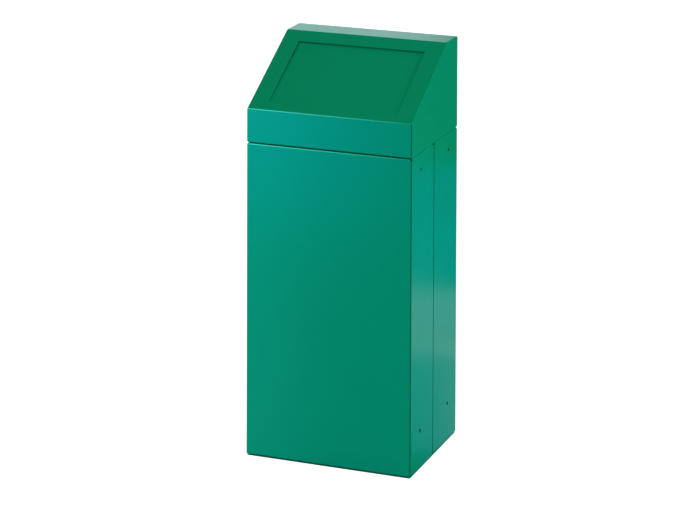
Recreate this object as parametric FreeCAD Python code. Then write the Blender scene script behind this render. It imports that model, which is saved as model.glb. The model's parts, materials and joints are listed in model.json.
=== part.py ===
import FreeCAD, Part
import math
import os

# Waste bin: a sheet body in two shells, a hood with a sprung flap in its front
# slope, and a loose liner with two bail handles.
# Frame: origin at the middle of the footprint on the floor, +X to the bin's
# right seen from the front, front towards -Y, +Z up. Millimetres.

os.makedirs("parts", exist_ok=True)
Vector = FreeCAD.Vector
X_AXIS, Y_AXIS, Z_AXIS = (1, 0, 0), (0, 1, 0), (0, 0, 1)
SIDES = (-1, 1)          # left and right, or front and rear

# ---------------------------------------------------------- shared dimensions
WIDTH, DEPTH, HEIGHT = 315.0, 250.0, 740.0
HALF_W, HALF_D = WIDTH / 2, DEPTH / 2
SHEET = 1.0              # sheet thickness of body and hood
BEND_OUT = 2.2           # outer bend radius of the sheet
BEND_IN = BEND_OUT - SHEET

BODY_Z0 = 2.0            # lower edge of the body shells
BODY_Z1 = 570.0          # rim of the body
HOOD_Z0 = 572.0          # lower edge of the hood
STRIP_Z1 = 633.0         # top of the hood's upright front strip
TOP_Y0 = 65.0            # front edge of the hood's flat top
SLOPE = math.degrees(math.atan2(HEIGHT - STRIP_Z1, TOP_Y0 + HALF_D))

SEAM_Y = -5.0            # side seam between front and rear shell
RIM_FLANGE = 12.0        # inward flange at the body rim and the hood's lower edge

SEAM_RIVET_X = 150.5
SEAM_RIVET_Z = (80.0, 180.0, 285.0, 390.0, 500.0)
FOOT_RIVETS = ((80, 117), (150, 70))     # x, y of one quarter
BODY_RIVET_HOLE_R = 2.05
BUFFER_X, BUFFER_Y = 117.5, 118.5
PAD_X, PAD_Y = 118, 88


# -------------------------------------------------------------------- helpers
def box(x0, y0, z0, x1, y1, z1):
    """Box between any two opposite corners."""
    corner = Vector(min(x0, x1), min(y0, y1), min(z0, z1))
    return Part.makeBox(abs(x1 - x0), abs(y1 - y0), abs(z1 - z0), corner)


def cylinder(start, axis, radius, length):
    return Part.makeCylinder(radius, length, Vector(*start), Vector(*axis))


def along(edge, axis):
    start, end = edge.Vertexes[0].Point, edge.Vertexes[-1].Point
    direction = end - start
    if direction.Length < 1e-9:
        return False
    direction.normalize()
    return abs(abs(direction.dot(Vector(*axis))) - 1) < 1e-6


def is_upright(edge):
    return along(edge, Z_AXIS)


def not_upright(edge):
    return not is_upright(edge)


def lowest_x(edge):
    return min(v.Point.x for v in edge.Vertexes)


def lowest_z(edge):
    return min(v.Point.z for v in edge.Vertexes)


def is_circle(edge):
    return isinstance(edge.Curve, Part.Circle)


def fillet(shape, radius, pick=None):
    return shape.makeFillet(radius, [e for e in shape.Edges if pick is None or pick(e)])


def rounded_box(x0, y0, z0, x1, y1, z1, radius):
    return fillet(box(x0, y0, z0, x1, y1, z1), radius)


def upright(half_x, half_y, z0, z1, radius):
    """Upright prism with rounded corners, centred on the Z axis."""
    return fillet(box(-half_x, -half_y, z0, half_x, half_y, z1), radius, is_upright)


def ring(half_x, half_y, z0, z1, radius, edge_radius):
    """Upright prism whose upper and lower edges are rounded too."""
    return fillet(upright(half_x, half_y, z0, z1, radius), edge_radius, not_upright)


def positive(shape):
    """Turn an inside-out solid the right way round."""
    if shape.Volume < 0:
        shape.reverse()
    return shape


def closed_face(points):
    return Part.Face(Part.makePolygon(points + points[:1]))


def offset_outline(points, distance):
    """Inward offset of a convex polygon given clockwise in (y, z)."""
    lines = []
    for (y0, z0), (y1, z1) in zip(points, points[1:] + points[:1]):
        length = math.hypot(y1 - y0, z1 - z0)
        dir_y, dir_z = (y1 - y0) / length, (z1 - z0) / length
        lines.append((y0 + dir_z * distance, z0 - dir_y * distance, dir_y, dir_z))
    corners = []
    for i, (y1, z1, dir_y1, dir_z1) in enumerate(lines):
        y0, z0, dir_y0, dir_z0 = lines[i - 1]
        det = dir_y1 * dir_z0 - dir_y0 * dir_z1
        step = (dir_y1 * (z1 - z0) - (y1 - y0) * dir_z1) / det
        corners.append((y0 + dir_y0 * step, z0 + dir_z0 * step))
    return corners


def profile(points, x0, x1, radius):
    """Prism along X of a polygon in (y, z), its long edges rounded."""
    face = closed_face([Vector(x0, y, z) for y, z in points])
    solid = positive(face.extrude(Vector(x1 - x0, 0, 0)))
    return fillet(solid, radius, lambda e: along(e, X_AXIS))


def revolved(points, x, y):
    """Solid of revolution of (radius, z) points about the upright line through (x, y)."""
    face = closed_face([Vector(r, 0, z) for r, z in points])
    solid = positive(face.revolve(Vector(0, 0, 0), Vector(*Z_AXIS), 360).Solids[0])
    solid.translate(Vector(x, y, 0))
    return solid


def on_slope(shape):
    """From the slope's own axes (x, up the slope, outward) to the bin's."""
    placed = shape.copy()
    placed.rotate(Vector(0, 0, 0), Vector(*X_AXIS), SLOPE)
    placed.translate(Vector(0, -HALF_D, STRIP_Z1))
    return placed


def mirror_x(shape):
    return shape.mirror(Vector(0, 0, 0), Vector(*X_AXIS))


def in_quarter(shape, side, end):
    """Mirror a shape of the +X +Y quarter to the quarter with the given signs."""
    if side < 0:
        shape = mirror_x(shape)
    return shape.mirror(Vector(0, 0, 0), Vector(*Y_AXIS)) if end < 0 else shape


def one(shape):
    """The single solid of a boolean result."""
    solids = shape.removeSplitter().Solids
    assert len(solids) == 1, len(solids)
    return solids[0]


def save(name, *shapes):
    solids = [solid for shape in shapes for solid in shape.Solids]
    for solid in solids:
        assert solid.isValid() and solid.Volume > 0, name
    out = solids[0] if len(solids) == 1 else Part.makeCompound(solids)
    out.exportStep("parts/%s.step" % name)


def domed_disc(start, axis, radius, height, dome, domed_at):
    """Disc rounded at the face centred on domed_at."""
    disc = Part.makeCylinder(radius, height, start, axis)
    return fillet(disc, dome, lambda e: is_circle(e)
                  and (e.Curve.Center - domed_at).Length < 1e-6)


def rivet(seat, axis, grip, shank_r, head_r, head_h, tail_r, tail_h, dome=0.5):
    """Blind rivet: seat is the centre of the head's seat, axis points head to tail."""
    axis, seat = Vector(*axis), Vector(*seat)
    top = seat - axis * head_h
    head = domed_disc(top, axis, head_r, head_h, dome, top)
    shank = Part.makeCylinder(shank_r, grip, seat, axis)
    tail = domed_disc(seat + axis * grip, axis, tail_r, tail_h, dome,
                      seat + axis * (grip + tail_h))
    return one(head.fuse([shank, tail]))


def body_rivet(seat, axis, head_h):
    """Rivet through two sheets of the body."""
    return rivet(seat, axis, grip=2 * SHEET, shank_r=2.0, head_r=4.0, head_h=head_h,
                 tail_r=3.2, tail_h=2.0)


# ---------------------------------------------------------------- body shells
FOOT_FLANGE = 15.0       # inward flange at the foot of the body
SEAM_FLANGE = 13.0       # depth of the inward seam flanges
LINK_HOLE_R = 3.5        # open holes in the side walls, for bolting bins in a row
LINK_HOLE_Y = 75.0
LINK_HOLE_Z = (70.0, 541.0)
CORNER_RELIEF_R, SEAM_RELIEF_R = 1.7, 1.9
BUFFER_HOLE_R = 2.1
SLIT_W, SLIT_LENGTH = 0.5, 24
SLIT_INSET = 1.2         # start of the mitre slit inside the body's corner


def relief(radius, corner, outward):
    """Drill for a relief, centred on a corner and pointing outward."""
    direction = Vector(*outward)
    direction.normalize()
    return Part.makeCylinder(radius, 8, Vector(*corner) - direction * 5, direction)


def mitre_slit(side, end, z):
    slit = box(-SLIT_W / 2, 0, -2, SLIT_W / 2, SLIT_LENGTH, 2)
    slit.rotate(Vector(0, 0, 0), Vector(*Z_AXIS), math.degrees(math.atan2(-side, end)) + 180)
    slit.translate(Vector(side * (HALF_W - SLIT_INSET), end * (HALF_D - SLIT_INSET), z))
    return slit


def body_shell(end):
    """Front (end -1) or rear (end 1) half: three walls with seam, rim and foot flanges."""
    outer = rounded_box(-HALF_W, end * HALF_D, BODY_Z0, HALF_W, SEAM_Y, BODY_Z1, BEND_OUT)
    in_x, in_y = HALF_W - SHEET, end * (HALF_D - SHEET)
    inner = rounded_box(-in_x, in_y, BODY_Z0 + SHEET,
                        in_x, SEAM_Y + end * SHEET, BODY_Z1 - SHEET, BEND_IN)
    shell = outer.cut(inner)
    # clear the middle of the seam wall, the top and the bottom, leaving the flanges
    past_seam = SEAM_Y - end
    seam_x = HALF_W - SEAM_FLANGE
    shell = shell.cut(box(-seam_x, SEAM_Y + end * 5, BODY_Z0 - 1,
                          seam_x, past_seam, BODY_Z1 + 1))
    for flange, z0, z1 in ((RIM_FLANGE, BODY_Z1 - 3, BODY_Z1 + 1),
                           (FOOT_FLANGE, BODY_Z0 - 1, BODY_Z0 + 3)):
        x = HALF_W - flange
        shell = shell.cut(box(-x, end * (HALF_D - flange), z0, x, past_seam, z1))
    for side in SIDES:
        # reliefs where three bends meet at the rim, mitre slits behind the corners,
        # and reliefs at the ends of the side seam
        for z, up in ((BODY_Z1, 1), (BODY_Z0, -1)):
            if up > 0:
                shell = shell.cut(relief(CORNER_RELIEF_R, (side * HALF_W, end * HALF_D, z),
                                         (side, end, up)))
            shell = shell.cut(mitre_slit(side, end, z))
            shell = shell.cut(relief(SEAM_RELIEF_R, (side * HALF_W, SEAM_Y, z),
                                     (side, 0, up)))
        for z in LINK_HOLE_Z:
            shell = shell.cut(cylinder((side * (HALF_W - 3), end * LINK_HOLE_Y, z),
                                       (side, 0, 0), LINK_HOLE_R, 6))
        for z in SEAM_RIVET_Z:
            shell = shell.cut(cylinder((side * SEAM_RIVET_X, SEAM_Y - 4, z), Y_AXIS,
                                       BODY_RIVET_HOLE_R, 8))
        for x, y in FOOT_RIVETS:
            shell = shell.cut(cylinder((side * x, end * y, BODY_Z0 - 1), Z_AXIS,
                                       BODY_RIVET_HOLE_R, 3))
        shell = shell.cut(cylinder((side * BUFFER_X, end * BUFFER_Y, BODY_Z1 - 3), Z_AXIS,
                                   BUFFER_HOLE_R, 4))
    return one(shell)


save("front_shell", body_shell(-1))
save("rear_shell", body_shell(1))
save("seam_rivets", *[
    body_rivet((side * SEAM_RIVET_X, SEAM_Y - SHEET, z), Y_AXIS, head_h=1.2)
    for side in SIDES for z in SEAM_RIVET_Z])

# ------------------------------------------------------------------ base tray
TRAY_X, TRAY_Y = HALF_W - SHEET - 0.2, HALF_D - SHEET - 0.2
TRAY_Z0 = BODY_Z0 + SHEET
TRAY_Z1 = 23
TRAY_BEND = 2.0
TRAY_NOTCH = 4           # square notch at each corner
SWAGE_X, SWAGE_Y, SWAGE_HALF_W = 95, 45.0, 5
PAD_HOLE_R = 4.1


def base_tray():
    in_x, in_y = TRAY_X - SHEET, TRAY_Y - SHEET
    tray = rounded_box(-TRAY_X, -TRAY_Y, TRAY_Z0, TRAY_X, TRAY_Y, 40, TRAY_BEND)
    tray = tray.cut(rounded_box(-in_x, -in_y, TRAY_Z0 + SHEET, in_x, in_y, 50,
                                TRAY_BEND - SHEET))
    tray = tray.cut(box(-HALF_W, -HALF_D, TRAY_Z1, HALF_W, HALF_D, 60))
    holes = [(x, y, BODY_RIVET_HOLE_R) for x, y in FOOT_RIVETS] + [(PAD_X, PAD_Y, PAD_HOLE_R)]
    for side in SIDES:
        # notch around the body's seam flanges
        tray = tray.cut(box(side * 143.5, SEAM_Y - 2.5, 2, side * 160, SEAM_Y + 2.5, 30))
        for end in SIDES:
            tray = tray.cut(box(side * (TRAY_X - TRAY_NOTCH), end * (TRAY_Y - TRAY_NOTCH), 2,
                                side * 160, end * 130, 30))
            for x, y, radius in holes:
                tray = tray.cut(cylinder((side * x, end * y, 2), Z_AXIS, radius, 3))
    # shallow cross swages that stiffen the floor
    for end in SIDES:
        y0, y1 = end * SWAGE_Y - SWAGE_HALF_W, end * SWAGE_Y + SWAGE_HALF_W
        swage = fillet(box(-SWAGE_X, y0, 2.2, SWAGE_X, y1, 5.2), 1.4, not_upright)
        tray = tray.fuse(swage.common(box(-SWAGE_X, y0, 3.5, SWAGE_X, y1, 5.2)))
    return one(tray)


save("base_tray", base_tray())
save("base_rivets", *[
    body_rivet((side * x, end * y, BODY_Z0), Z_AXIS, head_h=1.1)
    for x, y in FOOT_RIVETS for side in SIDES for end in SIDES])

# ------------------------------------------------------ foot pads, rim buffers
# radius, z
PAD_PROFILE = [
    (0, 0), (11.6, 0), (12.6, 0.4), (13, 1.2), (13, 2.2), (12.4, 3.0), (4.0, 3.0),
    (4.0, 4.0), (6.0, 4.0), (6.0, 4.8), (3.4, 6.5), (0, 6.5)]
BUFFER_PROFILE = [
    (0, BODY_Z1 - 4.6), (1.6, BODY_Z1 - 4.6), (3.0, BODY_Z1 - 2.0), (3.0, BODY_Z1 - 1.0),
    (2.0, BODY_Z1 - 1.0), (2.0, BODY_Z1), (4.5, BODY_Z1), (4.5, BODY_Z1 + 1.3),
    (3.7, HOOD_Z0), (0, HOOD_Z0)]
for name, points, x, y in (("foot_pads", PAD_PROFILE, PAD_X, PAD_Y),
                           ("rim_buffers", BUFFER_PROFILE, BUFFER_X, BUFFER_Y)):
    save(name, *[revolved(points, side * x, end * y) for side in SIDES for end in SIDES])

# ----------------------------------------------------------------------- hood
# y, z, clockwise from the lower front corner
HOOD_OUTLINE = [(-HALF_D, HOOD_Z0), (-HALF_D, STRIP_Z1), (TOP_Y0, HEIGHT),
                (HALF_D, HEIGHT), (HALF_D, HOOD_Z0)]
HOOD_INSIDE = offset_outline(HOOD_OUTLINE, SHEET)
WRAP_X = 155.2           # half width of the wrap
CHEEK_X = 155.4          # inner edge of the cheek's rim
OPEN_X = 123.5           # half width of the opening in the slope
OPEN_S = (25.0, 188.5)   # opening along the slope, measured up from the lower bend
OPEN_R = 1.5


def hood_wrap():
    """Front strip, slope, top and back in one bent sheet."""
    wrap = profile(HOOD_OUTLINE, -WRAP_X, WRAP_X, BEND_OUT)
    wrap = wrap.cut(profile(HOOD_INSIDE, -WRAP_X - 5, WRAP_X + 5, BEND_IN))
    y = HALF_D - RIM_FLANGE
    wrap = wrap.cut(box(-WIDTH, -y, HOOD_Z0 - 1, WIDTH, y, HOOD_Z0 + 3))
    opening = fillet(box(-OPEN_X, OPEN_S[0], -4, OPEN_X, OPEN_S[1], 4), OPEN_R, is_upright)
    return one(wrap.cut(on_slope(opening)))


def hood_cheek():
    """Right side plate with a rounded rim, stepped down to a flange under the wrap."""
    in_x = HALF_W - SHEET
    cheek = profile(HOOD_OUTLINE, CHEEK_X, HALF_W, BEND_OUT)
    cheek = fillet(cheek, 1.8, lambda e: lowest_x(e) > HALF_W - 0.01)
    hollow = profile(HOOD_INSIDE, 150.0, in_x, BEND_IN)
    hollow = fillet(hollow, 0.8, lambda e: lowest_x(e) > in_x - 0.01)
    cheek = cheek.cut(hollow)
    step_x = HALF_W - 0.5
    step = profile(offset_outline(HOOD_OUTLINE, SHEET + 0.05), 143.5, step_x, 1.15)
    step = step.cut(profile(offset_outline(HOOD_OUTLINE, 2 * SHEET + 0.05), 140, HALF_W, 0.15))
    step = step.cut(box(140, -HALF_D, HOOD_Z0 - 1, HALF_W + 1, HALF_D, HOOD_Z0 + 2.3))
    step = step.common(profile(HOOD_OUTLINE, 140, step_x, BEND_OUT))
    foot_y = HALF_D - RIM_FLANGE - 0.2
    foot = box(HALF_W - RIM_FLANGE, -foot_y, HOOD_Z0, HALF_W - 0.9, foot_y, HOOD_Z0 + SHEET)
    # lip just inside the side face that closes most of the gap above the body's rim
    lip_y = HALF_D - 4.0
    lip = box(HALF_W - 2.2, -lip_y, HOOD_Z0 - 1.5, HALF_W - 1.3, lip_y, HOOD_Z0 + 0.9)
    return one(cheek.fuse([step, foot, lip]))


save("hood_wrap", hood_wrap())
right_cheek = hood_cheek()
save("hood_cheek_right", right_cheek)
save("hood_cheek_left", mirror_x(right_cheek))

LUG_X, LUG_Y = 144.5, 112.2    # outer faces of the corner angle
LUG_T = 1.2
LUG_Z0, LUG_NOTCH_Z1 = 548, 556
LUG_TAB_T = 1.1


def locating_lug():
    """Corner angle that hangs inside the body's rim, with two tabs on the hood's flanges."""
    in_x, in_y, tab_z0 = LUG_X - LUG_T, LUG_Y - LUG_T, HOOD_Z0 + SHEET
    lug = box(100, in_y, LUG_Z0, LUG_X, LUG_Y, tab_z0)
    lug = lug.fuse(box(in_x, 84, LUG_Z0, LUG_X, LUG_Y, tab_z0))
    notches = box(99, 100, 540, 110, 120, LUG_NOTCH_Z1).fuse(
        box(140, 83, 540, 150, 92, LUG_NOTCH_Z1))
    lug = lug.cut(notches)
    rear_tab = box(104, in_y, tab_z0, 140, 121.5, tab_z0 + LUG_TAB_T)
    side_tab = box(in_x, 88, tab_z0, 153.0, 108, tab_z0 + LUG_TAB_T)
    return one(lug.fuse([rear_tab, side_tab]))


lug = locating_lug()
save("hood_locators", *[in_quarter(lug, side, end) for side in (1, -1) for end in (1, -1)])

# ----------------------------------------------- flap hinge, in slope's axes
HINGE_S = 187.0          # flap axis along the slope
HINGE_N = -12.0          # flap axis below the slope's outer face
ROD_R, ROD_HALF = 3.0, 137.5
EAR_X, EAR_T, EAR_R = 132.2, 1.5, 8.0
WIRE_R, COIL_R, PITCH, TURNS, COIL_X = 0.75, 4.75, 1.62, 7, 110.0
COIL_START = 104.0       # degrees
COIL_END = 86.0 + 360.0 * TURNS
COIL_STEPS = 14 * TURNS
FLAP_LEG = 34.0          # length of the spring leg under the flap


def hinge_cylinder(x, radius, length):
    """Cylinder on the flap axis, running from x towards +X."""
    return cylinder((x, HINGE_S, HINGE_N), X_AXIS, radius, length)


def hinge_bracket():
    ear = box(EAR_X, HINGE_S - EAR_R, HINGE_N, EAR_X + EAR_T, HINGE_S + EAR_R, -SHEET)
    ear = ear.fuse(hinge_cylinder(EAR_X, EAR_R, EAR_T))
    plate = box(EAR_X, HINGE_S - 13, -SHEET - EAR_T, 142.8, HINGE_S + 13, -SHEET)
    return one(ear.fuse(plate).cut(hinge_cylinder(EAR_X - 1, ROD_R + 0.1, 4)))


def rod_clip():
    """Stepped retaining washer outside the bracket's ear."""
    clip = hinge_cylinder(EAR_X + 1.6, 6.0, 1.0)
    clip = clip.fuse(hinge_cylinder(EAR_X + 2.6, 4.4, 0.9))
    return one(clip.cut(hinge_cylinder(EAR_X, ROD_R + 0.01, 8)))


def flap_spring():
    """Torsion spring of round wire: about seven turns, one straight leg up to the
    hood below its top bend, one straight leg under the flap."""
    start_angle, end_angle = math.radians(COIL_START), math.radians(COIL_END)
    points = []
    for k in range(COIL_STEPS + 1):
        angle = start_angle + (end_angle - start_angle) * k / COIL_STEPS
        points.append(Vector(COIL_X + PITCH * TURNS * k / COIL_STEPS,
                             HINGE_S + COIL_R * math.cos(angle),
                             HINGE_N + COIL_R * math.sin(angle)))
    curve = Part.BSplineCurve()
    curve.interpolate(points)
    (start, start_dir), (end, end_dir) = [
        (curve.value(t), curve.tangent(t)[0])
        for t in (curve.FirstParameter, curve.LastParameter)]
    section = Part.Wire([Part.makeCircle(WIRE_R, start, start_dir)])
    coil = positive(Part.Wire([curve.toShape()]).makePipeShell([section], True, False))
    hood_leg = (-SHEET - WIRE_R - 0.12 - start.z) / -start_dir.z
    return one(coil.fuse([Part.makeCylinder(WIRE_R, hood_leg, start, start_dir * -1),
                          Part.makeCylinder(WIRE_R, FLAP_LEG, end, end_dir)]))


def save_slope_pair(name, shape):
    save(name + "_right", on_slope(shape))
    save(name + "_left", on_slope(mirror_x(shape)))


save_slope_pair("hinge_bracket", hinge_bracket())

rod = hinge_cylinder(-ROD_HALF, ROD_R, 2 * ROD_HALF)
save("hinge_rod", on_slope(rod.makeChamfer(0.5, [e for e in rod.Edges if is_circle(e)])))

clip = rod_clip()
save("rod_clips", on_slope(clip), on_slope(mirror_x(clip)))
save_slope_pair("flap_spring", flap_spring())

# strip under the lower edge of the opening
strip = box(-120, 17.5, -SHEET - 0.85, 120, 24.0, -SHEET)
strip = fillet(strip, 0.3, lambda e: max(v.Point.z for v in e.Vertexes) < -SHEET - 0.8)
save("flap_stop_strip", on_slope(strip))

# ----------------------------------------------------------------------- flap
FLAP_X = 129.5           # half width of the flap pan
FLAP_S0, FLAP_S1 = 19.0, 193.0
FLAP_N1 = HINGE_N + 8.6  # outer face of the flap
FLAP_N0 = FLAP_N1 - 12.0     # lower edge of its flanges
FLAP_T = 1.0
FLAP_TILT = -0.507       # degrees; the closed flap bears at its lower edge
BUSH_R, BUSH_BORE_R = 4.5, 3.05


def flap_panel():
    """Pan with flanges at the sides and lower edge, and lobes around the rod."""
    pan = box(-FLAP_X, FLAP_S0, FLAP_N0, FLAP_X, FLAP_S1, FLAP_N1)
    pan = fillet(pan, 2.0, lambda e: lowest_z(e) > FLAP_N1 - 0.01
                 or (is_upright(e) and e.Vertexes[0].Point.y < FLAP_S0 + 1))
    in_x = FLAP_X - FLAP_T
    core = box(-in_x, FLAP_S0 + FLAP_T, FLAP_N0 - 5, in_x, FLAP_S1 + 5, FLAP_N1 - FLAP_T)
    core = fillet(core, 1.0, lambda e: (
        lowest_z(e) > FLAP_N1 - FLAP_T - 0.01
        and not (along(e, X_AXIS) and e.Vertexes[0].Point.y > FLAP_S1))
        or (is_upright(e) and e.Vertexes[0].Point.y < FLAP_S0 + 2))
    pan = pan.cut(core)
    for x in (-FLAP_X, in_x):
        lobe = hinge_cylinder(x, 8.0, FLAP_T)
        pan = pan.fuse(lobe.common(box(-200, 0, -40, 200, FLAP_S1, FLAP_N1 - 1.5)))
    for x in (-FLAP_X - 1, FLAP_X - 2):
        pan = pan.cut(hinge_cylinder(x, BUSH_R + 0.02, 3.0))
    return one(pan)


def flap_bush():
    bush = hinge_cylinder(FLAP_X - 5, BUSH_R, 5.0)
    bush = bush.fuse(hinge_cylinder(FLAP_X, 6.5, 2.0))
    bush = bush.fuse(hinge_cylinder(FLAP_X - 2.6, 5.2, 1.6))
    return one(bush.cut(hinge_cylinder(FLAP_X - 8, BUSH_BORE_R, 12)))


def tilted(shape):
    turned = shape.copy()
    turned.rotate(Vector(0, HINGE_S, HINGE_N), Vector(*X_AXIS), FLAP_TILT)
    return on_slope(turned)


save("flap_panel", tilted(flap_panel()))
bush = flap_bush()
save("flap_bushes", tilted(bush), tilted(mirror_x(bush)))

# ---------------------------------------------------------------------- liner
LINER_X, LINER_Y, LINER_R = 138.0, 104.0, 18.0
LINER_T = 0.8
LINER_IN_X = LINER_X - LINER_T
LINER_Z0, LINER_Z1 = 4.0, 538.0
LINER_FLOOR_Z = 13.0     # underside of the liner's floor
BEAD_Z = (150.0, 400.0)
SADDLE_Y = (45.0, 53.0)
SADDLE_T = 1.0           # thickness against the wall
SADDLE_RIVET_Y = sum(SADDLE_Y) / 2
SADDLE_RIVET_Z = (510.5, 517.5)
SADDLE_HOLE_R = 1.55
HANDLE_X, HANDLE_Z = 133.0, 526.0
HANDLE_LEG_Y, HANDLE_END_Y = 41.0, 54.5
HANDLE_DROP, HANDLE_R = 60.0, 2.5
TRUNNION_BEND, GRIP_BEND = 3.5, 14.0


def liner_ring(grow, z0, z1, edge_radius):
    """Ring that stands out from the liner's outer face by grow."""
    return ring(LINER_X + grow, LINER_Y + grow, z0, z1, LINER_R + grow, edge_radius)


def liner_prism(inset, z0, z1):
    return upright(LINER_X - inset, LINER_Y - inset, z0, z1, LINER_R - inset)


def liner_wall():
    wall = liner_prism(0, LINER_Z0, LINER_Z1 - 3)
    wall = wall.fuse(liner_ring(3.5, LINER_Z1 - 6, LINER_Z1, 2.9))
    for z in BEAD_Z:
        wall = wall.fuse(liner_ring(1.5, z - 4, z + 4, 1.4))
    wall = wall.fuse(liner_ring(1.2, LINER_Z0, LINER_Z0 + 7, 1.1))
    # upright rib on the rear wall
    wall = wall.fuse(fillet(box(-5, LINER_Y - 0.6, 20, 5, LINER_Y + 1.3, 524), 0.6, is_upright))
    wall = wall.cut(liner_prism(LINER_T, LINER_Z0 - 1, LINER_Z1 + 1))
    for z in BEAD_Z:
        wall = wall.cut(liner_ring(0.7, z - 3.2, z + 3.2, 1.0))
    for side in SIDES:
        for end in SIDES:
            for z in SADDLE_RIVET_Z:
                wall = wall.cut(cylinder((side * 135, end * SADDLE_RIVET_Y, z), (side, 0, 0),
                                         SADDLE_HOLE_R, 6))
    return one(wall)


def liner_floor():
    """Floor sheet with a downturned rim inside the wall."""
    inset, top = LINER_T + 0.05, LINER_FLOOR_Z + LINER_T
    floor = liner_prism(inset, LINER_Z0 + 1, top)
    floor = fillet(floor, 1.6, lambda e: lowest_z(e) > top - 0.01)
    under = liner_prism(inset + LINER_T, LINER_Z0, LINER_FLOOR_Z)
    under = fillet(under, 0.8, lambda e: lowest_z(e) > LINER_FLOOR_Z - 0.01)
    return one(floor.cut(under))


def handle_saddle():
    """Eye around the handle's trunnion with a plate on the liner's inner face."""
    y0, y1 = SADDLE_Y
    back_x = LINER_IN_X - SADDLE_T
    saddle = cylinder((HANDLE_X, y0, HANDLE_Z), Y_AXIS, 4.1, y1 - y0)
    saddle = saddle.fuse(box(back_x, y0, 506, LINER_IN_X, y1, HANDLE_Z))
    saddle = saddle.fuse(box(HANDLE_X, y0, HANDLE_Z + 2.6, LINER_IN_X, y1, HANDLE_Z + 4.1))
    saddle = saddle.fuse(box(back_x, y0, HANDLE_Z - 1, LINER_IN_X, y1, HANDLE_Z + 4.1))
    saddle = saddle.cut(cylinder((HANDLE_X, y0 - 1, HANDLE_Z), Y_AXIS, HANDLE_R + 0.06,
                                 y1 - y0 + 2))
    for z in SADDLE_RIVET_Z:
        saddle = saddle.cut(cylinder((LINER_IN_X - 2, SADDLE_RIVET_Y, z), X_AXIS,
                                     SADDLE_HOLE_R, 4))
    return one(saddle)


def handle(side):
    """Hanging bail of round wire; trunnions at the top point outward along Y."""
    x, top, bottom = side * HANDLE_X, HANDLE_Z, HANDLE_Z - HANDLE_DROP
    bend_y, bend_z = HANDLE_LEG_Y + TRUNNION_BEND, top - TRUNNION_BEND
    grip_y, grip_z = HANDLE_LEG_Y - GRIP_BEND, bottom + GRIP_BEND

    def line(y0, z0, y1, z1):
        return Part.makeLine(Vector(x, y0, z0), Vector(x, y1, z1))

    def arc(y, z, radius, start, end):
        angles = [math.radians(a) for a in (start, (start + end) / 2, end)]
        return Part.Arc(*[Vector(x, y + radius * math.cos(a), z + radius * math.sin(a))
                          for a in angles]).toShape()

    path = Part.Wire([
        line(-HANDLE_END_Y, top, -bend_y, top),
        arc(-bend_y, bend_z, TRUNNION_BEND, 90, 0),
        line(-HANDLE_LEG_Y, bend_z, -HANDLE_LEG_Y, grip_z),
        arc(-grip_y, grip_z, GRIP_BEND, 180, 270),
        line(-grip_y, bottom, grip_y, bottom),
        arc(grip_y, grip_z, GRIP_BEND, 270, 360),
        line(HANDLE_LEG_Y, grip_z, HANDLE_LEG_Y, bend_z),
        arc(bend_y, bend_z, TRUNNION_BEND, 180, 90),
        line(bend_y, top, HANDLE_END_Y, top),
    ])
    circle = Part.makeCircle(HANDLE_R, Vector(x, -HANDLE_END_Y, top), Vector(*Y_AXIS))
    return positive(path.makePipeShell([Part.Wire([circle])], True, False)).Solids[0]


save("liner_wall", liner_wall())
save("liner_floor", liner_floor())
saddle = handle_saddle()
save("handle_saddles", *[in_quarter(saddle, side, end) for side in SIDES for end in SIDES])
save("saddle_rivets", *[
    rivet((side * (LINER_IN_X - SADDLE_T), end * SADDLE_RIVET_Y, z), (side, 0, 0),
          grip=SADDLE_T + LINER_T, shank_r=1.5, head_r=2.8, head_h=1.0,
          tail_r=2.5, tail_h=1.0, dome=0.4)
    for side in SIDES for end in SIDES for z in SADDLE_RIVET_Z])
save("liner_handle_left", handle(-1))
save("liner_handle_right", handle(1))
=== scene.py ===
import math
import json
import bpy
import numpy as np
from mathutils import Matrix, Vector

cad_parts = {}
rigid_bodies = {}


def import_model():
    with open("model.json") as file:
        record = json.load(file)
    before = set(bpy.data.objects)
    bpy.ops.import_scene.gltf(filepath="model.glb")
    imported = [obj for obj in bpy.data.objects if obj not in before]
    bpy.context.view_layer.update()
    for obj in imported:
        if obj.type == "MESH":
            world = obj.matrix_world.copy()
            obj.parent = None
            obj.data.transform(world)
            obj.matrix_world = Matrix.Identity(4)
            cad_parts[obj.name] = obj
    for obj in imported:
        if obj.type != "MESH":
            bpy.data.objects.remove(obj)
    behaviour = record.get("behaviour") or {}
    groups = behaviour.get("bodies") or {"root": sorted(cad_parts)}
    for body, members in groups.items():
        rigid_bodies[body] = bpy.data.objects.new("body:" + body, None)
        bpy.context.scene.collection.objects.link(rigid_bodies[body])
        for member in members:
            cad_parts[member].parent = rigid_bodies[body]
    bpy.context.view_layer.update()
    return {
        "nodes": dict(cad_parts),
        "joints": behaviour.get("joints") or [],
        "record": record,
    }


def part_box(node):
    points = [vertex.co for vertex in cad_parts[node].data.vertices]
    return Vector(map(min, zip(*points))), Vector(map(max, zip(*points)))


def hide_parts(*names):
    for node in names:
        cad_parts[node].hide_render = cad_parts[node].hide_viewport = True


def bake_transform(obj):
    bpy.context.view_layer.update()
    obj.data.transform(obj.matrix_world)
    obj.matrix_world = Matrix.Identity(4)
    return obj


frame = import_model()
nodes = frame["nodes"]
joints = {j["name"]: j for j in frame["joints"]}
scene = bpy.context.scene
for o in list(scene.objects):
    if o.type in {"LIGHT", "CAMERA"}:
        bpy.data.objects.remove(o)


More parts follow.
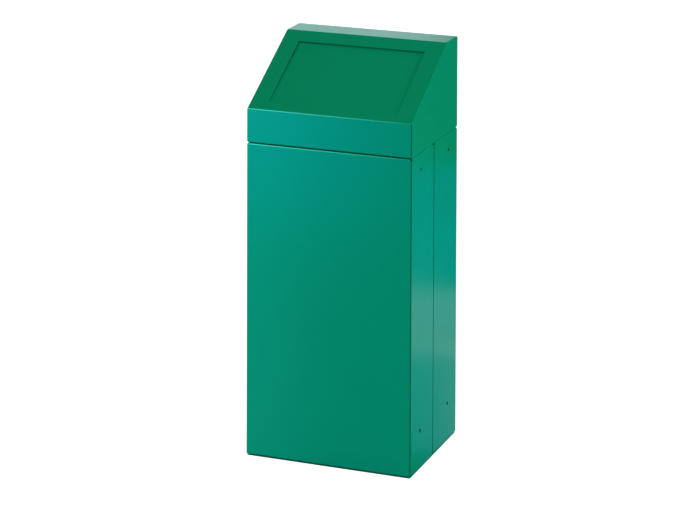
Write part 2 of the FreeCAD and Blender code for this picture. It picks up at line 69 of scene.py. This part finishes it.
# ------------------------------------------------------------ material tools
class Nodes:
    """Small helper for building one material's node tree."""

    def __init__(self, name):
        self.mat = bpy.data.materials.new(name)
        self.mat.use_nodes = True
        self.t = self.mat.node_tree
        self.t.nodes.clear()
        self.out = self.t.nodes.new("ShaderNodeOutputMaterial")
        self.bsdf = self.t.nodes.new("ShaderNodeBsdfPrincipled")
        self.t.links.new(self.bsdf.outputs[0], self.out.inputs[0])
        tc = self.t.nodes.new("ShaderNodeTexCoord")
        self.co = tc.outputs["Object"]
        self.normal = tc.outputs["Normal"]
        self.place = self.co

    def link(self, a, b):
        self.t.links.new(a, b)

    def node(self, kind, **props):
        n = self.t.nodes.new(kind)
        for k, v in props.items():
            setattr(n, k, v)
        return n

    def set(self, n, **vals):
        for k, v in vals.items():
            n.inputs[k.replace("_", " ")].default_value = v
        return n

    def noise(self, scale, detail=2.0, rough=0.5, stretch=None, distort=0.0):
        n = self.node("ShaderNodeTexNoise")
        n.inputs["Scale"].default_value = scale
        n.inputs["Detail"].default_value = detail
        n.inputs["Roughness"].default_value = rough
        n.inputs["Distortion"].default_value = distort
        co = self.co
        if stretch:
            m = self.node("ShaderNodeMapping")
            m.inputs["Scale"].default_value = stretch
            self.link(co, m.inputs["Vector"])
            co = m.outputs[0]
        self.link(co, n.inputs["Vector"])
        return n.outputs["Fac"]

    def voronoi(self, scale, feature="F1", output="Distance", warp=0.0):
        n = self.node("ShaderNodeTexVoronoi", feature=feature)
        n.inputs["Scale"].default_value = scale
        co = self.co
        if warp:
            w = self.node("ShaderNodeTexNoise")
            w.inputs["Scale"].default_value = scale * 0.9
            self.link(self.co, w.inputs["Vector"])
            mix = self.node("ShaderNodeMix", data_type="VECTOR")
            mix.inputs["Factor"].default_value = warp
            self.link(self.co, mix.inputs["A"])
            self.link(w.outputs["Color"], mix.inputs["B"])
            co = mix.outputs["Result"] if "Result" in mix.outputs else mix.outputs[1]
        self.link(co, n.inputs["Vector"])
        return n.outputs[output]

    def ramp(self, fac, a, b, lo=0.0, hi=1.0):
        """Maps fac from [a, b] to [lo, hi], clamped."""
        n = self.node("ShaderNodeMapRange")
        n.inputs["From Min"].default_value = a
        n.inputs["From Max"].default_value = b
        n.inputs["To Min"].default_value = lo
        n.inputs["To Max"].default_value = hi
        self.link(fac, n.inputs["Value"])
        return n.outputs[0]

    def mix(self, fac, a, b, blend="MIX"):
        n = self.node("ShaderNodeMix", data_type="RGBA", blend_type=blend)
        for sock, v in ((n.inputs[0], fac), (n.inputs[6], a), (n.inputs[7], b)):
            if isinstance(v, bpy.types.NodeSocket):
                self.link(v, sock)
            elif isinstance(v, (int, float)):
                sock.default_value = v
            else:
                sock.default_value = tuple(v) + ((1.0,) if len(v) == 3 else ())
        return n.outputs[2]

    def math(self, op, a, b=0.0):
        n = self.node("ShaderNodeMath", operation=op)
        for i, v in enumerate((a, b)):
            if isinstance(v, bpy.types.NodeSocket):
                self.link(v, n.inputs[i])
            else:
                n.inputs[i].default_value = v
        return n.outputs[0]

    def split(self, vector):
        n = self.node("ShaderNodeSeparateXYZ")
        self.link(vector, n.inputs[0])
        return tuple(n.outputs)

    def all(self, *masks):
        out = masks[0]
        for m in masks[1:]:
            out = self.math("MULTIPLY", out, m)
        return out

    def bump(self, height, distance, strength=1.0, after=None):
        n = self.node("ShaderNodeBump")
        n.inputs["Distance"].default_value = distance
        n.inputs["Strength"].default_value = strength
        self.link(height, n.inputs["Height"])
        if after is not None:
            self.link(after, n.inputs["Normal"])
        return n.outputs[0]

    def edge(self, radius, samples=4):
        """0 on flat areas, towards 1 where a tight bend or edge lies within radius."""
        b = self.node("ShaderNodeBevel", samples=samples)
        b.inputs["Radius"].default_value = radius
        g = self.node("ShaderNodeNewGeometry")
        d = self.node("ShaderNodeVectorMath", operation="DOT_PRODUCT")
        self.link(b.outputs[0], d.inputs[0])
        self.link(g.outputs["True Normal"], d.inputs[1])
        return self.ramp(d.outputs["Value"], 0.995, 0.80)

    def finish(self, color, rough, normal=None, **rest):
        for sock, v in (("Base Color", color), ("Roughness", rough)):
            if isinstance(v, bpy.types.NodeSocket):
                self.link(v, self.bsdf.inputs[sock])
            else:
                self.bsdf.inputs[sock].default_value = v if isinstance(v, float) else tuple(v) + (1.0,)
        if normal is not None:
            self.link(normal, self.bsdf.inputs["Normal"])
        for k, v in rest.items():
            self.bsdf.inputs[k.replace("_", " ")].default_value = v
        return self.mat


# ------------------------------------------------------------------ materials
# strength of the painted shade on bends, in the seam and at the foot
PAINTED_SHADE_STRENGTH = 0.75
# strengths of the painted highlight on upward bends, at the left end and at the right end
PAINTED_HIGHLIGHT_STRENGTH = 0.85
PAINTED_HIGHLIGHT_RIGHT = 0.08


def powder_coat():
    n = Nodes("green_powder_coat")
    base = (0.0, 0.226, 0.106)
    cloud = n.noise(5.0, 3.0)
    speck = n.noise(420.0, 2.0)
    col = n.mix(n.ramp(cloud, 0.35, 0.65, 0.0, 0.5), base, (0.0, 0.238, 0.114))
    col = n.mix(n.ramp(speck, 0.55, 0.75, 0.0, 0.05), col, (0.0, 0.30, 0.20))
    nx, ny, nz = n.split(n.normal)
    px, py, pz = n.split(n.place)
    ax, ay, az = (n.math("ABSOLUTE", v) for v in (nx, ny, nz))
    dn = n.math("MULTIPLY", nz, -1.0)
    # painted shade: upright bends, the throat of the side seam, faces turned to the left and downward faces at the
    # foot are painted darker, standing in for the shade and dim reflections there
    upright = n.all(n.ramp(ax, 0.10, 0.35), n.ramp(ay, 0.10, 0.35), n.ramp(az, 0.45, 0.25))
    left = n.all(n.ramp(nx, -0.10, -0.35), n.ramp(nx, -0.99, -0.95))
    foot = n.all(n.ramp(dn, 0.10, 0.40), n.ramp(dn, 0.99, 0.95), n.ramp(pz, 0.03, 0.02, 0.0, 0.3))
    # painted shade: the walls of the holes in the side sheets are painted near-black, as the shade inside them
    hole_shade = n.all(n.ramp(n.math("ABSOLUTE", px), 0.1560, 0.1563), n.ramp(ax, 0.35, 0.25),
                 n.ramp(pz, 0.566, 0.565))
    # painted shade: the top of the side seam is painted near-black as well, as if an open corner relief showed the
    # shade inside
    seam_top_shade = n.all(n.ramp(n.math("ABSOLUTE", n.math("ADD", py, 0.005)), 0.0040, 0.0030),
                     n.ramp(n.math("ABSOLUTE", px), 0.1573, 0.1570),
                     n.ramp(pz, 0.562, 0.564), n.ramp(pz, 0.5712, 0.5705))
    hole_shade = n.math("MAXIMUM", hole_shade, seam_top_shade)
    painted_shade = n.math("MAXIMUM", n.math("MAXIMUM", upright, left), foot)
    col = n.mix(n.math("MULTIPLY", painted_shade, PAINTED_SHADE_STRENGTH), col, (0.0, 0.030, 0.016))
    col = n.mix(hole_shade, col, (0.0, 0.006, 0.004))
    # painted highlight: bends that look up (the rim of the body, both creases of the hood) are painted light aqua,
    # strongest on the left and fading to the right
    flat_x = n.ramp(ax, 0.45, 0.25)
    crease_highlight = n.all(n.ramp(nz, 0.10, 0.35), n.ramp(nz, 0.84, 0.74), n.ramp(ny, -0.05, -0.15), flat_x)
    top = n.all(n.ramp(ny, -0.03, -0.15), n.ramp(ny, -0.46, -0.36), n.ramp(nz, 0.80, 0.88), flat_x)
    highlight_fade = n.ramp(px, -0.16, 0.16, 1.0, PAINTED_HIGHLIGHT_RIGHT)
    light = n.math("MULTIPLY", n.math("MAXIMUM", crease_highlight, n.math("MULTIPLY", top, 0.85)), highlight_fade)
    col = n.mix(n.math("MULTIPLY", light, PAINTED_HIGHLIGHT_STRENGTH), col, (0.12, 0.86, 0.68))
    # painted light: downward faces above 0.52 m (the hood's bottom bend) are painted lighter than the shade they
    # face into
    hem_painted_light = n.all(n.ramp(dn, 0.15, 0.45), n.ramp(dn, 0.97, 0.90), n.ramp(pz, 0.50, 0.52))
    col = n.mix(n.math("MULTIPLY", hem_painted_light, 0.5), col, (0.0, 0.34, 0.24))
    rough = n.ramp(n.noise(14.0, 2.0), 0.3, 0.7, 0.285, 0.305)
    # specular is turned down where the painted shade lies
    n.link(n.math("MULTIPLY", n.math("SUBTRACT", 1.0, n.math("MULTIPLY", n.math("MAXIMUM", painted_shade, hole_shade), 0.8)), 0.5),
           n.bsdf.inputs["Specular IOR Level"])
    peel = n.bump(n.noise(900.0, 2.0, 0.5), 0.00002, 0.4)
    wave = n.bump(n.noise(7.0, 1.0, 0.4), 0.0006, 0.5, after=peel)
    return n.finish(col, rough, wave, Specular_Tint=(0.0, 0.92, 1.0, 1.0))


def galvanised():
    n = Nodes("galvanised_steel")
    cell = n.voronoi(95.0, output="Color", warp=0.004)
    sep = n.node("ShaderNodeSeparateColor")
    n.link(cell, sep.inputs[0])
    fine = n.noise(600.0, 3.0, 0.6, stretch=(1.0, 1.0, 0.35))
    col = n.mix(sep.outputs[0], (0.43, 0.378, 0.318), (0.61, 0.542, 0.462))
    col = n.mix(n.ramp(n.noise(9.0, 4.0), 0.52, 0.75, 0.0, 0.35), col, (0.51, 0.457, 0.39))
    rough = n.math("ADD", n.ramp(sep.outputs[1], 0.0, 1.0, 0.36, 0.52), n.ramp(fine, 0.3, 0.7, -0.04, 0.05))
    bump = n.bump(sep.outputs[2], 0.00003, 0.5)
    bump = n.bump(fine, 0.00003, 0.4, bump)
    return n.finish(col, rough, bump, Metallic=0.45)


def zinc():
    n = Nodes("zinc_plated_steel")
    fine = n.noise(900.0, 3.0, 0.6, stretch=(0.15, 1.0, 1.0))
    col = n.mix(n.ramp(n.noise(60.0, 3.0), 0.4, 0.7), (0.66, 0.67, 0.67), (0.76, 0.75, 0.70))
    rough = n.ramp(fine, 0.3, 0.7, 0.20, 0.34)
    return n.finish(col, rough, n.bump(fine, 0.00002, 0.4), Metallic=0.75)


def spring_steel():
    n = Nodes("spring_steel")
    fine = n.noise(1400.0, 3.0, 0.6)
    col = n.mix(n.ramp(n.noise(140.0, 3.0), 0.4, 0.7), (0.30, 0.30, 0.31), (0.42, 0.41, 0.40))
    return n.finish(col, n.ramp(fine, 0.3, 0.7, 0.28, 0.42), n.bump(fine, 0.00002, 0.5), Metallic=1.0)


def rivet_alu():
    n = Nodes("rivet_aluminium")
    fine = n.noise(1600.0, 3.0, 0.6)
    col = n.mix(n.ramp(n.noise(300.0, 3.0), 0.4, 0.7), (0.70, 0.71, 0.72), (0.80, 0.81, 0.82))
    return n.finish(col, n.ramp(fine, 0.3, 0.7, 0.26, 0.42), n.bump(fine, 0.00002, 0.5), Metallic=1.0)


def rubber():
    n = Nodes("black_rubber")
    grain = n.noise(700.0, 3.0, 0.6)
    dust = n.ramp(n.noise(90.0, 4.0, 0.65), 0.52, 0.8, 0.0, 0.5)
    col = n.mix(dust, (0.014, 0.014, 0.015), (0.055, 0.055, 0.055))
    return n.finish(col, n.ramp(grain, 0.3, 0.7, 0.62, 0.82), n.bump(grain, 0.00008, 0.5),
                    Specular_IOR_Level=0.35)


def nylon():
    n = Nodes("white_nylon")
    grain = n.noise(800.0, 2.0)
    col = n.mix(n.ramp(n.noise(120.0, 3.0), 0.4, 0.7), (0.74, 0.73, 0.67), (0.80, 0.79, 0.74))
    return n.finish(col, n.ramp(grain, 0.3, 0.7, 0.42, 0.55), n.bump(grain, 0.00003, 0.5),
                    Subsurface_Weight=0.12, Subsurface_Scale=0.004)


mats = {
    "green_powder_coat": powder_coat(),
    "galvanised_steel": galvanised(),
    "zinc_plated_steel": zinc(),
    "spring_steel": spring_steel(),
    "rivet_aluminium": rivet_alu(),
    "black_rubber": rubber(),
    "white_nylon": nylon(),
}
slot_of = {s["node"]: s["material_slot"] for s in frame["record"]["subparts"]}
for name, o in nodes.items():
    o.data.materials.clear()
    o.data.materials.append(mats[slot_of[name]])
    for p in o.data.polygons:
        p.material_index = 0

# ------------------------------------------------------- flap return springs
# The wire is drawn again as one swept tube.
axis = Vector(joints["flap_hinge"]["pos_m"])
c, s = math.cos, math.sin
wrap_lo, wrap_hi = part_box("hood_wrap")
SLOPE = math.atan2(0.740 - 0.633, 0.065 + 0.125)


def tube(name, points, r, sides=14):
    """Swept round wire through points, with domed ends."""
    pts = [np.array(p, float) for p in points]
    tan = []
    for i in range(len(pts)):
        d = pts[min(i + 1, len(pts) - 1)] - pts[max(i - 1, 0)]
        tan.append(d / np.linalg.norm(d))
    u = np.cross(tan[0], [1.0, 0.0, 0.0])
    u /= np.linalg.norm(u)
    verts, faces = [], []
    rings = []
    for i, (p, t) in enumerate(zip(pts, tan)):
        u = u - t * (u @ t)
        u /= np.linalg.norm(u)
        v = np.cross(t, u)
        extra = []
        if i == 0:
            extra = [(-0.30, 0.55), (-0.16, 0.86), (0.0, 1.0)]
        elif i == len(pts) - 1:
            extra = [(0.0, 1.0), (0.16, 0.86), (0.30, 0.55)]
        else:
            extra = [(0.0, 1.0)]
        for back, k in extra:
            ring = []
            for j in range(sides):
                a = 2 * math.pi * j / sides
                q = p + t * (back * r) + (u * math.cos(a) + v * math.sin(a)) * (r * k)
                ring.append(len(verts))
                verts.append(tuple(q))
            rings.append(ring)
    for a, b in zip(rings, rings[1:]):
        for j in range(sides):
            k = (j + 1) % sides
            faces.append((a[j], a[k], b[k], b[j]))
    faces.append(tuple(reversed(rings[0])))
    faces.append(tuple(rings[-1]))
    me = bpy.data.meshes.new(name)
    me.from_pydata(verts, [], faces)
    me.validate()
    me.update()
    for p in me.polygons:
        p.use_smooth = True
    o = bpy.data.objects.new(name, me)
    scene.collection.objects.link(o)
    return o


def spring(side):
    lo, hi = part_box("flap_spring_right")
    wire, coil_r, turns, pitch, x0 = 0.00075, 0.00475, 7, 0.00162, 0.110
    a0, a1 = math.radians(104.0), math.radians(86.0 + 360.0 * turns)
    n = 40 * turns
    ex = np.array([side, 0.0, 0.0])
    es = np.array([0.0, math.cos(SLOPE), math.sin(SLOPE)])
    en = np.array([0.0, -math.sin(SLOPE), math.cos(SLOPE)])
    o = np.array([0.0, axis.y, axis.z])

    def at(x, su, nu):
        return o + ex * x + es * su + en * nu

    coil = [at(x0 + pitch * turns * k / n, coil_r * math.cos(a0 + (a1 - a0) * k / n),
               coil_r * math.sin(a0 + (a1 - a0) * k / n)) for k in range(n + 1)]
    d0 = coil[0] - coil[1]
    d0 /= np.linalg.norm(d0)
    d1 = coil[-1] - coil[-2]
    d1 /= np.linalg.norm(d1)
    top = en @ (coil[0] - o)
    fixed_len = (0.012 - 0.001 - wire - 0.00012 - top) / (d0 @ en)
    first = [coil[0] + d0 * (fixed_len * k / 12) for k in range(12, 0, -1)]
    last = [coil[-1] + d1 * (0.034 * k / 12) for k in range(1, 13)]
    name = "spring_wire_" + ("right" if side > 0 else "left")
    ob = tube(name, first + coil + last, wire)
    ob.data.materials.append(mats["spring_steel"])
    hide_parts("flap_spring_" + ("right" if side > 0 else "left"))
    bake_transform(ob)
    return ob


spring(1)
spring(-1)

# ---------------------------------------------------------------- the studio
FW, FH = 677.0, 507.0
FLOOR_LIFT = 0.62
ROOM_LIGHT = [(-1.0, (0.60, 0.62, 0.66)), (0.0, (0.60, 0.66, 0.74)), (0.5, (0.52, 0.76, 0.68)), (1.0, (0.40, 0.82, 0.60))]
ROOM_SEEN = [(-1.0, (0.0, 0.0, 0.0)), (-0.05, (0.0, 0.01, 0.01)), (0.10, (0.12, 0.24, 0.28)),
             (0.50, (0.02, 0.22, 0.26)), (0.70, (0.0, 0.12, 0.09)), (1.0, (0.0, 0.12, 0.09))]
LIGHTS = [
    # name, place, aimed at, width, height, brightness, colour, kind
    ("key_left", (-1.3, -1.3, 1.3), (-0.05, -0.1, 0.45), 0.9, 0.9, 1.3, (0.7, 0.95, 1.0), "light"),
    ("fill_right", (1.5, -0.3, 0.7), (0.15, 0.0, 0.35), 1.0, 1.2, 4.1, (0.6, 0.9, 1.0), "light"),
    ("front_card", (-0.9, -1.7, 0.0), (-0.1, -0.125, 0.3), 3.0, 2.4, 0.60, (0.6, 1.02, 1.8), "reflection"),
    ("left_card", (-0.72, -0.76, 0.10), (-0.72, 0.0, 0.10), 0.8, 1.3, 1.70, (0.6, 1, 0.9), "reflection"),
    ("left_card_top", (-0.53, -0.78, 0.52), (-0.53, 0.0, 0.52), 0.75, 0.52, 1.5, (0.3, 0.75, 1.6), "reflection"),
    ("soft_box_left", (-1.0, -1.0, 0.80), (-0.15, -0.125, 0.5), 1.1, 1.1, 2.0, (0.7, 0.9, 1.2), "reflection"),
    ("top_card", (-0.62, -1.0, 1.9), (-0.10, -0.125, 0.6), 0.5, 0.5, 9.0, (1, 1, 1), "reflection"),
    ("back_card", (-1.27, 1.78, 1.30), (-0.1, 0.0, 0.74), 1.7, 1.1, 1.06, (1, 1.05, 1.15), "reflection"),
    ("side_card_a", (0.285, 0.326, 0.130), (0.157, 0.0, 0.234), 0.9, 0.12, 0.36, (1, 0.72, 0.70), "reflection"),
    ("side_card_b", (-0.160, 0.497, -0.02), (-0.288, 0.171, 0.084), 0.9, 0.20, 0.27, (1, 0.9, 0.8), "reflection"),
    ("side_card_c", (0.285, 0.326, 0.155), (0.157, 0.0, 0.259), 0.9, 0.55, 0.45, (0.0, 0.45, 1.1), "reflection"),
    ("side_card_d", (0.285, 0.326, 0.240), (0.157, 0.0, 0.344), 0.9, 0.17, 0.10, (0.0, 0.9, 0.8), "reflection"),
]


def area(name, loc, target, sx, sy, radiance, color=(1, 1, 1), kind="both"):
    """Soft rectangular light of a given brightness. kind: lit surfaces, reflections or both."""
    d = bpy.data.lights.new(name, "AREA")
    d.shape = "RECTANGLE"
    d.size, d.size_y = sx, sy
    d.energy = math.pi * sx * sy * radiance
    d.color = color
    o = bpy.data.objects.new(name, d)
    o.location = loc
    o.rotation_euler = (Vector(target) - Vector(loc)).to_track_quat("-Z", "Y").to_euler()
    scene.collection.objects.link(o)
    o.visible_camera = False
    o.visible_diffuse = kind != "reflection"
    o.visible_glossy = kind != "light"
    return o


# floor: pale, lit like the rest, and lifted to white for the camera except in the
# soft contact shadow; beneath the bin it is painted a deep green and not lifted, a painted
# shadow, so the gap at the foot shows shade on every side
me = bpy.data.meshes.new("studio_floor")
S = 30.0
me.from_pydata([(-S, -S, 0), (S, -S, 0), (S, S, 0), (-S, S, 0)], [], [(0, 1, 2, 3)])
floor = bpy.data.objects.new("studio_floor", me)
scene.collection.objects.link(floor)
fm = Nodes("studio_floor")
fx, fy, _ = (fm.math("ABSOLUTE", v) for v in fm.split(fm.place))
# painted shadow: the floor beneath the bin's footprint is painted deep green
under_bin_shadow = fm.all(fm.ramp(fx, 0.1570, 0.1562), fm.ramp(fy, 0.1245, 0.1237))
fm.finish(fm.mix(under_bin_shadow, (0.80, 0.80, 0.80), (0.10, 0.38, 0.32)), 0.9, Specular_IOR_Level=0.0)
lift = fm.node("ShaderNodeEmission")
flp = fm.node("ShaderNodeLightPath")
open_floor = fm.math("SUBTRACT", 1.0, under_bin_shadow)
fm.link(fm.math("MULTIPLY", fm.math("MULTIPLY", flp.outputs["Is Camera Ray"], open_floor), FLOOR_LIFT * 1.25),
        lift.inputs["Strength"])
lift.inputs["Color"].default_value = (1.0, 0.8, 0.8, 1.0)     # evens out the room's cool light
add = fm.node("ShaderNodeAddShader")
fm.link(fm.bsdf.outputs[0], add.inputs[0])
fm.link(lift.outputs[0], add.inputs[1])
fm.link(add.outputs[0], fm.out.inputs[0])
floor.data.materials.append(fm.mat)
floor.visible_glossy = False

# world: white to the camera, an even soft room for lighting, and a graded one
# (bright band round the horizon, dim overhead) in reflections
world = bpy.data.worlds.new("studio")
scene.world = world
world.use_nodes = True
wt = world.node_tree
wt.nodes.clear()
wo = wt.nodes.new("ShaderNodeOutputWorld")
lp = wt.nodes.new("ShaderNodeLightPath")
tc = wt.nodes.new("ShaderNodeTexCoord")
sep = wt.nodes.new("ShaderNodeSeparateXYZ")
mr = wt.nodes.new("ShaderNodeMapRange")
wt.links.new(tc.outputs["Generated"], sep.inputs[0])
wt.links.new(sep.outputs["Z"], mr.inputs["Value"])
mr.inputs["From Min"].default_value, mr.inputs["From Max"].default_value = -1.0, 1.0


def graded(stops):
    r = wt.nodes.new("ShaderNodeValToRGB")
    e = r.color_ramp.elements
    while len(e) < len(stops):
        e.new(0.5)
    for k, (z, v) in zip(e, stops):
        k.position = (z + 1) / 2
        k.color = tuple(v) + (1.0,)
    wt.links.new(mr.outputs[0], r.inputs[0])
    b = wt.nodes.new("ShaderNodeBackground")
    wt.links.new(r.outputs[0], b.inputs[0])
    return b


room = graded(ROOM_LIGHT)
seen = graded(ROOM_SEEN)
white = wt.nodes.new("ShaderNodeBackground")
white.inputs[0].default_value = (1, 1, 1, 1)
m1 = wt.nodes.new("ShaderNodeMixShader")
m2 = wt.nodes.new("ShaderNodeMixShader")
wt.links.new(lp.outputs["Is Glossy Ray"], m1.inputs[0])
wt.links.new(room.outputs[0], m1.inputs[1])
wt.links.new(seen.outputs[0], m1.inputs[2])
wt.links.new(lp.outputs["Is Camera Ray"], m2.inputs[0])
wt.links.new(m1.outputs[0], m2.inputs[1])
wt.links.new(white.outputs[0], m2.inputs[2])
wt.links.new(m2.outputs[0], wo.inputs[0])

for args in LIGHTS:
    area(*args)

scene.view_settings.view_transform = "Standard"
scene.view_settings.look = "None"
scene.view_settings.exposure = 0.0
scene.view_settings.gamma = 1.0

# ---------------------------------------------------------------- the camera
# Long lens, level view with the image plane shifted down, as product cameras do
# to keep uprights upright.
F_PX, CY_PX = 2677.5, -409.7
AZ, EL, ROLL = (math.radians(v) for v in (21.212, 2.622, 0.198))
right = Vector((c(AZ), s(AZ), 0.0))
fwd = Vector((-s(AZ) * c(EL), c(AZ) * c(EL), -s(EL)))
up = right.cross(fwd)
r2 = right * c(ROLL) + up * s(ROLL)
u2 = -right * s(ROLL) + up * c(ROLL)
WID = 0.315
anchor = Vector((0.0, 0.001, 0.3465))
loc = anchor - (r2 * 0.0848 + u2 * -3.8594 + fwd * 15.5199) * WID
cam_data = bpy.data.cameras.new("camera")
cam = bpy.data.objects.new("camera", cam_data)
scene.collection.objects.link(cam)
m = Matrix((r2, u2, -fwd)).transposed().to_4x4()
m.translation = loc
cam.matrix_world = m
cam_data.sensor_fit = "HORIZONTAL"
cam_data.sensor_width = 36.0
cam_data.lens = F_PX / FW * 36.0
cam_data.clip_start, cam_data.clip_end = 0.05, 100.0
scene.camera = cam

# The shift belongs to this camera position only: away from it, it fades to none,
# so that views from any other side stay centred on the object.
shift_y = (CY_PX - FH / 2) / FW
cam_data.shift_y = shift_y
fc = cam_data.driver_add("shift_y")
home = bpy.data.objects.new("camera_home", None)
home.location = loc
scene.collection.objects.link(home)
fc.driver.type = "AVERAGE"
var = fc.driver.variables.new()
var.name = "away"
var.type = "LOC_DIFF"
var.targets[0].id = cam
var.targets[1].id = home
while fc.modifiers:
    fc.modifiers.remove(fc.modifiers[0])
while len(fc.keyframe_points):
    fc.keyframe_points.remove(fc.keyframe_points[0])
for x, v in ((0.0, shift_y), (0.1, shift_y), (0.5, 0.0)):
    k = fc.keyframe_points.insert(x, v)
    k.interpolation = "LINEAR"
fc.extrapolation = "CONSTANT"
bpy.context.view_layer.update()
